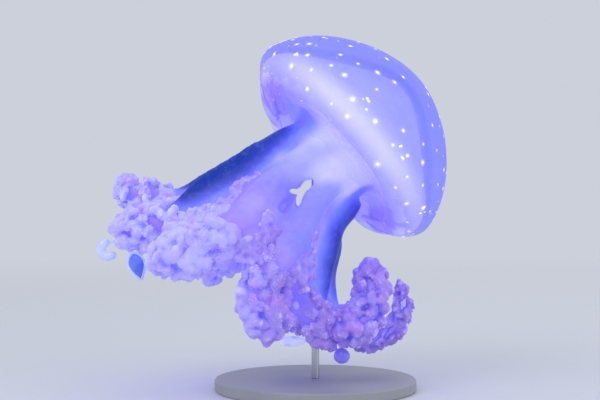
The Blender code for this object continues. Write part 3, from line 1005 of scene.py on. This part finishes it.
def skin_values(point, local, rise, stations):
    """What a place on the skin is made of, as numbers for its material, by millimetres down and out."""
    depth = -local.z / MM
    radius = local.xy.length / MM
    side = sideways(local)
    inner = max(1 - smooth_step(radius, 66, 80), depth > 140)
    keel = keel_share(point, stations) * smooth_step(depth, 106, 150) * inner
    # Painted shade: a blue band on the bell's -X side, above arms 4 and 5, carried in the keel value
    back_side = smooth_step(-local.x / max(local.xy.length, MM), 0.3, 0.75)
    band = smooth_step(depth, 104, 124) * (1 - smooth_step(depth, 150, 190))
    rim = smooth_step(radius, 62, 80) * smooth_step(depth, 110, 131) * (depth < 140)
    outer = smooth_step(radius, 66, 84) * smooth_step(depth, 84, 124) * (1 - smooth_step(radius, 98, 110))
    return {
        "keel": max(keel, BACK_BLUE_SHADE * back_side * band * inner),
        "core": 1 - smooth_step(depth, 132, 214),
        "neck": smooth_step(depth, 100, 132) * inner,
        "frill": stations[0].frill,
        # Painted highlight line round the dome's shoulder
        "shoulder_highlight": SHOULDER_HIGHLIGHT * math.exp(-(((depth - SHOULDER_DEPTH) / SHOULDER_WIDTH) ** 2)),
        "crown": 1 - smooth_step(depth, 44, 84),
        "margin": rim * (0.42 + 0.58 * side),
        "under": outer * (1 - 0.7 * side) * smooth_step(rise, -0.1, -0.7),
    }


def build_skin(bell, arms):
    """Core of the bell, arm disc and all eight arms under one unbroken skin."""
    rest = bell_frame()
    back = rest.inverted()
    turned = back.to_3x3()
    bm = spun([Vector(row) * MM for row in DOME_TOP + DOME_UNDER], CORE_STEPS)
    for vert in bm.verts:
        vert.co = margin_shape(vert.co) if vert.co.xy.length > MARGIN_START else disc_shape(vert.co)
    bmesh.ops.transform(bm, matrix=rest, verts=bm.verts)
    rows = all_stations()
    for one, two, start, stop in WEBS:
        loft(bm, web_rings(rows[one], rows[two], start, stop))
    for row in rows.values():
        root = row[0]
        sunk = Station(root.middle - root.heading * ROOT_SINK, root.heading, root.outward, root.radius * 0.8)
        loft(bm, [arm_ring(station) for station in [sunk] + row])
        loft(bm, [keel_ring(station) for station in row if station.frill < 0.95])
    mesh = pierced(remeshed(bm, arms.skin_voxel, SKIN_PASSES))
    without_crumbs(mesh, SKIN_LEAST, SKIN_SLIVER)
    stations = [station for row in rows.values() for station in row]
    tree = kdtree.KDTree(len(stations))
    for index, station in enumerate(stations):
        tree.insert(station.middle, index)
    tree.balance()
    found = []
    for vert in mesh.vertices:
        near = [stations[index] for _, index, _ in tree.find_n(vert.co, 8)]
        found.append(skin_values(vert.co, back @ vert.co, (turned @ vert.normal).z, near))
    for label in found[0]:
        add_values(mesh, label, softened(mesh, [values[label] for values in found], 3))
    finished("body_skin", mesh, skin_material(bell, arms), REPLACED)


def build_jelly(bell):
    """The clear outer jelly and the milky layers that thicken towards the pale dome."""
    rest = bell_frame()
    bm = jelly_body(JELLY_STEPS, JELLY_ROWS)
    thick, lip = [], []
    for vert in bm.verts:
        depth = -vert.co.z
        lip.append(smooth_step(depth, 6 * MM, 116 * MM) * sideways(vert.co))
        vert.co = margin_shape(vert.co)
        vert.co += vert.normal * (noise.noise(vert.co * 16) + 0.4 * noise.noise(vert.co * 45)) * 0.7 * MM
        thick.append(1 - smooth_step(depth, 92 * MM, 136 * MM))
    shells = [("bell_jelly", bm, jelly_material(bell), ["bell"], {"thick": thick, "lip": lip})]
    for layer in range(HAZE_LAYERS):
        inward = layer / (HAZE_LAYERS - 1)
        bm = milk_shell(HAZE_OUTERMOST + HAZE_SPREAD * inward, HAZE_STEPS, HAZE_ROWS)
        fade = [1 - smooth_step(-vert.co.z, 80 * MM, 106 * MM) for vert in bm.verts]
        shells.append((f"bell_haze_{layer + 1}", bm, haze_material(bell, inward), (), {"fade": fade}))
    for name, bm, surface, nodes, values in shells:
        bmesh.ops.transform(bm, matrix=rest, verts=bm.verts)
        bmesh.ops.recalc_face_normals(bm, faces=bm.faces)
        piece = finished(name, bm, surface, nodes)
        for label, given in values.items():
            add_values(piece.data, label, given)


def dome_place(share, bearing):
    """A place on the bell's outer side and the way it faces, in the bell's own frame."""
    here = outer_wall(share)
    ahead = outer_wall(min(1, share + WALL_PROBE))
    behind = outer_wall(max(0, share - WALL_PROBE))
    run = (ahead - behind).normalized()
    spoke = Vector((math.cos(bearing), math.sin(bearing), 0))
    point = margin_shape(spoke * here.x + Vector((0, 0, -here.y)))
    return point, (spoke * run.y + Vector((0, 0, run.x))).normalized()


def grain_matrix(place, facing, radius, height):
    """A place for a low rounded grain set into a surface."""
    turn = facing.to_track_quat("Z", "Y").to_matrix().to_4x4()
    return Matrix.Translation(place) @ turn @ Matrix.Diagonal((radius, radius, height, 1))


def unit_ball(sides, rows):
    """A plain ball of radius 1 to copy."""
    ball = bmesh.new()
    bmesh.ops.create_uvsphere(ball, u_segments=sides, v_segments=rows, radius=1)
    return mesh_of(ball)


def build_spots(bell):
    """White spots with a soft painted glow all over the bell, and chains of fine grains near its margin."""
    draw = random.Random(SPOT_SEED)
    rest = bell_frame()
    grains, glows, placed = [], [], []
    tries = 0
    while len(placed) < SPOTS and tries < SPOT_TRIES:
        tries += 1
        share = 0.12 + 0.70 * math.sqrt(draw.random())
        point, facing = dome_place(share, draw.random() * math.tau)
        spacing = bell.spot_spacing * (0.62 + 0.5 * draw.random())
        if any((point - other).length < spacing for other in placed):
            continue
        placed.append(point)
        radius = bell.spot_radius * (0.45 + 0.55 * draw.random() ** 1.2)
        grains.append(grain_matrix(point, facing, radius, radius * 0.22))
        glows.append(grain_matrix(point, facing, radius * 2.6, radius * 0.16))
    for cluster in range(SPOT_CLUSTERS):
        bearing = math.tau * (cluster + 0.35 * draw.random()) / SPOT_CLUSTERS
        share = 0.62 + 0.12 * draw.random()
        for _ in range(draw.randint(4, 7)):
            off = 0.05 * (draw.random() - 0.5)
            point, facing = dome_place(share + off, bearing + 0.12 * (draw.random() - 0.5))
            radius = bell.spot_radius * (0.3 + 0.25 * draw.random())
            grains.append(grain_matrix(point, facing, radius, radius * 0.3))
            glows.append(grain_matrix(point, facing, radius * 2.4, radius * 0.2))
    for _ in range(MARGIN_GRAINS):
        bearing = math.tau * draw.random()
        share = 0.78 + 0.17 * draw.random()
        if noise.noise(Vector((math.cos(bearing) * 3, math.sin(bearing) * 3, share * 5))) < 0.05:
            continue
        point, facing = dome_place(share, bearing)
        radius = bell.spot_radius * (0.18 + 0.16 * draw.random())
        grains.append(grain_matrix(point, facing, radius, radius * 0.4))
    for name, places, pattern, surface in (
        ("bell_spots", grains, unit_ball(8, 5), spot_material(bell)),
        ("bell_spot_glows", glows, unit_ball(10, 6), glow_material(bell)),
    ):
        mesh = copies(pattern, [rest @ place for place in places])
        finished(name, mesh, surface)
        add_values(mesh, "fade", [max(0, vert.co.z) ** 2 for vert in pattern.vertices] * len(places))
        bpy.data.meshes.remove(pattern)


def knob_matrix(place, size, draw):
    """A place for one knob, stretched and turned at random."""
    turn = Euler([draw.random() * math.tau for _ in range(3)]).to_matrix().to_4x4()
    stretch = Matrix.Diagonal((size * 1.25, size, size * (0.6 + 0.3 * draw.random()), 1))
    return Matrix.Translation(place) @ turn @ stretch


def frill_knobs(row, lobe, draw):
    """Places of the knobs that make an arm's frills: soft lobes with smaller knobs on them."""
    knobs = []
    phases = [draw.random() * math.tau for _ in range(FRILL_ROWS)]
    for station in row:
        if station.frill < FRILL_BEGUN:
            continue
        bare = BARE_ANGLE * (1 - smooth_step(station.frill, 0.1, 0.9))
        flat = 0.74 + 0.2 * station.frill
        for line, phase in enumerate(phases):
            angle = math.pi + (line - 0.5 * (FRILL_ROWS - 1)) * math.tau / FRILL_ROWS
            wave = 0.45 * math.sin(math.tau * station.run / FRILL_WAVE + phase)
            angle += wave + 0.3 * (draw.random() - 0.5)
            off_keel = abs((angle + math.pi) % math.tau - math.pi)
            if off_keel < bare or draw.random() < 0.2:
                continue
            size = station.radius * lobe * (0.20 + 0.16 * draw.random()) * (0.6 + 0.4 * station.frill)
            out = station.radius * (0.9 + 0.16 * draw.random()) - size * 0.8
            spoke = station.outward * math.cos(angle) + station.side * math.sin(angle) * flat
            middle = station.middle + spoke * out
            knobs.append(knob_matrix(middle, size, draw))
            for _ in range(round(2.6 * draw.random() * station.frill / lobe**2)):
                way = spoke + Vector([draw.random() - 0.5 for _ in range(3)]) * 1.6
                small = size * (0.36 + 0.24 * draw.random())
                knobs.append(knob_matrix(middle + way.normalized() * size * 0.75, small, draw))
    last = row[-1]
    near = row[-4]
    for _ in range(END_KNOBS):
        tilt = math.acos(1 - draw.random() * 0.9)
        turn = draw.random() * math.tau
        spoke = last.heading * math.cos(tilt)
        spoke += (last.outward * math.cos(turn) + last.side * math.sin(turn)) * math.sin(tilt)
        size = near.radius * (0.24 + 0.14 * draw.random())
        knobs.append(knob_matrix(near.middle + spoke * (near.radius - size * 0.7), size, draw))
    return knobs


def web_knobs(one, two, start, stop, draw):
    """Places of the small frills that run down between two arms."""
    knobs = []
    for _ in range(round(WEB_KNOBS * (stop - start))):
        share = start + (stop - start) * draw.random() ** 0.8
        middle, across, lift, outward, thick, run = web_place(one, two, share)
        lift *= math.copysign(1, lift.dot(outward))
        sway = 0.35 * math.sin(run / (9 * MM)) + (0.5 + 0.9 * share) * (draw.random() - 0.5)
        size = (2.2 + 4.2 * draw.random() * smooth_step(share, 0.2, 0.55)) * MM
        knobs.append(knob_matrix(middle + across * sway + lift * (thick - size * 0.35), size, draw))
    return knobs


def copies(pattern, places):
    """One mesh of many copies of a small pattern, one for each matrix."""
    corners = [vert.co.copy() for vert in pattern.vertices]
    shapes = [tuple(face.vertices) for face in pattern.polygons]
    points = [place @ corner for place in places for corner in corners]
    steps = range(0, len(points), len(corners))
    faces = [tuple(corner + step for corner in shape) for step in steps for shape in shapes]
    mesh = bpy.data.meshes.new("copies")
    mesh.from_pydata(points, [], faces)
    return mesh


def knobbed_skin(knobs, rings, seed, voxel):
    """One soft knobbed skin over many knobs and the core that they sit on."""
    knob = unit_ball(10, 6)
    raw = copies(knob, knobs)
    bm = bmesh.new()
    bm.from_mesh(raw)
    bpy.data.meshes.remove(knob)
    bpy.data.meshes.remove(raw)
    if rings:
        loft(bm, rings)
    mesh = remeshed(bm, voxel, FRILL_PASSES)
    without_crumbs(mesh, FRILL_LEAST)
    shift = Vector((seed * 3.7, seed * 1.3, 0)) * MM * 10
    facing = [vert.normal.copy() for vert in mesh.vertices]
    for vert, out in zip(mesh.vertices, facing):
        place = vert.co + shift
        wave = noise.noise(place * 60) * 1.8 + noise.noise(place * 150) * 0.8
        crisp = smooth_step(noise.noise(place * 28), -0.1, 0.3)
        grain = lumps(place, 2.6 * MM) - 0.5
        vert.co += out * MM * (wave + (0.5 + 1.1 * crisp) * grain)
    add_values(mesh, "height", relief(mesh, RELIEF_PASSES, 2.2 * MM))
    return mesh


def build_frills(arms):
    """The frilled mouth fringes of the eight arms, and the small frills that run down between them."""
    surface = frill_material(arms)
    rows = all_stations()
    for number, row in rows.items():
        rings = []
        for station in row:
            if station.frill < FRILL_BEGUN:
                continue
            reach = station.radius * (0.3 + 0.36 * station.frill)
            middle = station.middle - station.outward * 0.25 * (1 - station.frill) * station.radius
            rings.append(oval(middle, station.outward * reach, station.side * reach * 0.8))
        knobs = frill_knobs(row, ARMS[number]["lobe"], random.Random(number))
        mesh = knobbed_skin(knobs, rings, number, arms.frill_voxel)
        finished(f"frill_{number}", mesh, surface)
    draw = random.Random(WEB_SEED)
    knobs = []
    for one, two, start, stop in WEBS:
        if stop > 0.4:
            knobs += web_knobs(rows[one], rows[two], max(WEB_FRILL_START, start + 0.05), stop, draw)
    finished("frill_webs", knobbed_skin(knobs, [], WEB_KNOB_SEED, arms.frill_voxel), surface)


def build_curled_club(surface):
    """A club bent round on itself like a C at the end of a thin stalk."""
    place = Vector((-166, -42, 148)) * MM
    stalk_end = Vector((-154.6, -40, 158)) * MM
    stalk_radius = 1.2 * MM
    first_turn, last_turn = 75, 340
    steps = 30
    rings = []
    for step in range(steps + 1):
        share = step / steps
        turn = math.radians(first_turn + (last_turn - first_turn) * share)
        spoke = Vector((math.cos(turn), 0, math.sin(turn)))
        radius = 4.8 * MM * max(0.12, math.sqrt(1 - abs(2 * share - 1) ** 6))
        middle = place + spoke * 7 * MM
        if step == 0:
            reach = stalk_end - middle
            lift = reach.cross(FAR).normalized()
            for part in (1.25, 1.0, 0.75, 0.5):
                rings.append(oval(middle + reach * part, lift * stalk_radius, FAR * stalk_radius, 20))
        rings.append(oval(middle, spoke * radius, FAR * radius, 20))
    finished("curled_club", lofted(rings), surface, ["club_curled"])


def build_leaf_club(body, rim):
    """A flat drop with a raised pale rim."""
    top = Vector((-141, -39, 144)) * MM
    run = Vector((-133, -39, 118)) * MM - top
    side = run.normalized().cross(FAR)
    width, thickness, rim_width, rim_radius = (size * MM for size in (8.5, 3, 8.1, 1.3))
    steps, sides = 24, 20
    rings, left, right = [], [], []
    for step in range(steps + 1):
        share = step / steps
        swell = max(0.1, math.sin(math.pi * share**0.75)) ** 0.8
        middle = top + run * share
        ring = []
        for corner in range(sides):
            angle = math.tau * corner / sides
            through = thickness * swell * math.sin(angle) * (1 - 0.35 * math.cos(angle) ** 2)
            ring.append(middle + side * width * swell * math.cos(angle) + FAR * through)
        rings.append(ring)
        left.append(middle + side * rim_width * swell)
        right.append(middle - side * rim_width * swell)
    finished("leaf_club", lofted(rings), body, ["club_leaf"])
    loop = left + right[::-1]
    rings = []
    for index, point in enumerate(loop):
        ahead = loop[(index + 1) % len(loop)] - loop[index - 1]
        lift = ahead.cross(FAR).normalized()
        rings.append(oval(point, lift * rim_radius, FAR * rim_radius, 10))
    finished("leaf_club_rim", lofted(rings, endless=True), rim)


def build_round_club(name, place, radii, surface, node, seed):
    """A rounded club with a soft uneven skin, from a place and half-widths in millimetres."""
    bm = bmesh.new()
    matrix = Matrix.Translation(Vector(place) * MM) @ Matrix.Diagonal((*(Vector(radii) * MM), 1))
    bmesh.ops.create_icosphere(bm, subdivisions=5, radius=1, matrix=matrix)
    for vert in bm.verts:
        vert.co += vert.normal * 0.5 * MM * noise.noise(vert.co * 150 + Vector((seed, 0, 0)))
    finished(name, bm, surface, [node])


# Operators


class JELLYFISH_OT_stage(bpy.types.Operator):
    """Set the pale floor, the soft lights and the camera"""

    bl_idname = "jellyfish.stage"
    bl_label = "Stage"

    def execute(self, context):
        stage = context.scene.jellyfish_stage
        bm = bmesh.new()
        bmesh.ops.create_circle(bm, cap_ends=True, segments=96, radius=stage.floor_radius)
        mesh = mesh_of(bm)
        mesh.materials.append(floor_material(stage))
        put("floor", mesh)
        world = bpy.data.worlds.new("studio")
        world.use_nodes = True
        shade = world.node_tree.nodes["Background"]
        shade.inputs["Color"].default_value = (*stage.wall_colour, 1.0)
        shade.inputs["Strength"].default_value = 1.0
        context.scene.world = world
        for name, place, size, power in LAMPS:
            lamp = bpy.data.lights.new(name, "AREA")
            lamp.size = size
            lamp.energy = power
            holder = put(name, lamp)
            holder.location = place
            holder.rotation_euler = (LAMP_AIM - Vector(place)).to_track_quat("-Z", "Y").to_euler()
        camera = put("camera", bpy.data.cameras.new("camera"))
        camera.data.lens = CAMERA_LENS
        camera.data.sensor_width = CAMERA_SENSOR
        camera.location = CAMERA_PLACE
        camera.rotation_euler = (math.radians(90) - CAMERA_DIP, 0, 0)
        context.scene.camera = camera
        context.scene.view_settings.view_transform = "Standard"
        context.scene.cycles.transparent_max_bounces = CLEAR_LAYERS
        return {"FINISHED"}


class JELLYFISH_OT_skin(bpy.types.Operator):
    """Build the one skin of core, disc and arms"""

    bl_idname = "jellyfish.skin"
    bl_label = "Skin"

    def execute(self, context):
        build_skin(context.scene.jellyfish_bell, context.scene.jellyfish_arms)
        return {"FINISHED"}


class JELLYFISH_OT_jelly(bpy.types.Operator):
    """Build the clear jelly of the bell and its milky layers"""

    bl_idname = "jellyfish.jelly"
    bl_label = "Jelly"

    def execute(self, context):
        build_jelly(context.scene.jellyfish_bell)
        return {"FINISHED"}


class JELLYFISH_OT_spots(bpy.types.Operator):
    """Scatter the white spots over the bell"""

    bl_idname = "jellyfish.spots"
    bl_label = "Spots"

    def execute(self, context):
        build_spots(context.scene.jellyfish_bell)
        return {"FINISHED"}


class JELLYFISH_OT_frills(bpy.types.Operator):
    """Build the knobbed frills of the eight arms"""

    bl_idname = "jellyfish.frills"
    bl_label = "Frills"

    def execute(self, context):
        build_frills(context.scene.jellyfish_arms)
        return {"FINISHED"}


class JELLYFISH_OT_clubs(bpy.types.Operator):
    """Build the clubs that end the arms' filaments"""

    bl_idname = "jellyfish.clubs"
    bl_label = "Clubs"

    def execute(self, context):
        pale = club_material("club_pale", (0.30, 0.38, 0.94), (0.46, 0.52, 0.98))
        middle = club_material("club_middle", (0.06, 0.12, 0.60), (0.13, 0.20, 0.74))
        white = club_material("club_white", (0.42, 0.52, 1.0), (0.75, 0.80, 1.0))
        violet = club_material("club_violet", (0.12, 0.10, 0.60), (0.19, 0.15, 0.70))
        build_curled_club(pale)
        build_leaf_club(middle, pale)
        build_round_club("pad_club", (20, 86, 39.6), (15, 7, 6), white, "club_pad", 3)
        build_round_club("ball_club", (70, -50, 41.2), (8, 8, 8), violet, "club_ball", 7)
        return {"FINISHED"}


class JELLYFISH_OT_stand(bpy.types.Operator):
    """Finish the display stand in paint and brushed steel"""

    bl_idname = "jellyfish.stand"
    bl_label = "Stand"

    def execute(self, context):
        for node, surface in (("stand_base", base_material()), ("stand_rod", steel_material())):
            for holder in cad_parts[node].material_slots:
                holder.material = surface
        return {"FINISHED"}


class JELLYFISH_PT_panel(bpy.types.Panel):
    """Sizes, colours and steps of the jellyfish"""

    bl_idname = "JELLYFISH_PT_panel"
    bl_label = "Jellyfish"
    bl_space_type = "VIEW_3D"
    bl_region_type = "UI"
    bl_category = "Jellyfish"

    def draw(self, context):
        for settings in (
            context.scene.jellyfish_stage,
            context.scene.jellyfish_bell,
            context.scene.jellyfish_arms,
        ):
            box = self.layout.box()
            for name in settings.__annotations__:
                box.prop(settings, name)
        for operator in OPERATORS:
            self.layout.operator(operator.bl_idname)


SETTINGS = {"jellyfish_stage": StageSettings, "jellyfish_bell": BellSettings, "jellyfish_arms": ArmSettings}
OPERATORS = (
    JELLYFISH_OT_stage,
    JELLYFISH_OT_skin,
    JELLYFISH_OT_jelly,
    JELLYFISH_OT_spots,
    JELLYFISH_OT_frills,
    JELLYFISH_OT_clubs,
    JELLYFISH_OT_stand,
)


def register():
    for group in SETTINGS.values():
        bpy.utils.register_class(group)
    for name, group in SETTINGS.items():
        setattr(bpy.types.Scene, name, bpy.props.PointerProperty(type=group))
    for operator in OPERATORS:
        bpy.utils.register_class(operator)
    bpy.utils.register_class(JELLYFISH_PT_panel)


def unregister():
    bpy.utils.unregister_class(JELLYFISH_PT_panel)
    for operator in reversed(OPERATORS):
        bpy.utils.unregister_class(operator)
    for name in SETTINGS:
        delattr(bpy.types.Scene, name)
    for group in SETTINGS.values():
        bpy.utils.unregister_class(group)


def main():
    register()
    bpy.ops.jellyfish.stage()
    bpy.ops.jellyfish.skin()
    bpy.ops.jellyfish.jelly()
    bpy.ops.jellyfish.spots()
    bpy.ops.jellyfish.frills()
    bpy.ops.jellyfish.clubs()
    bpy.ops.jellyfish.stand()


if __name__ == "__main__":
    main()
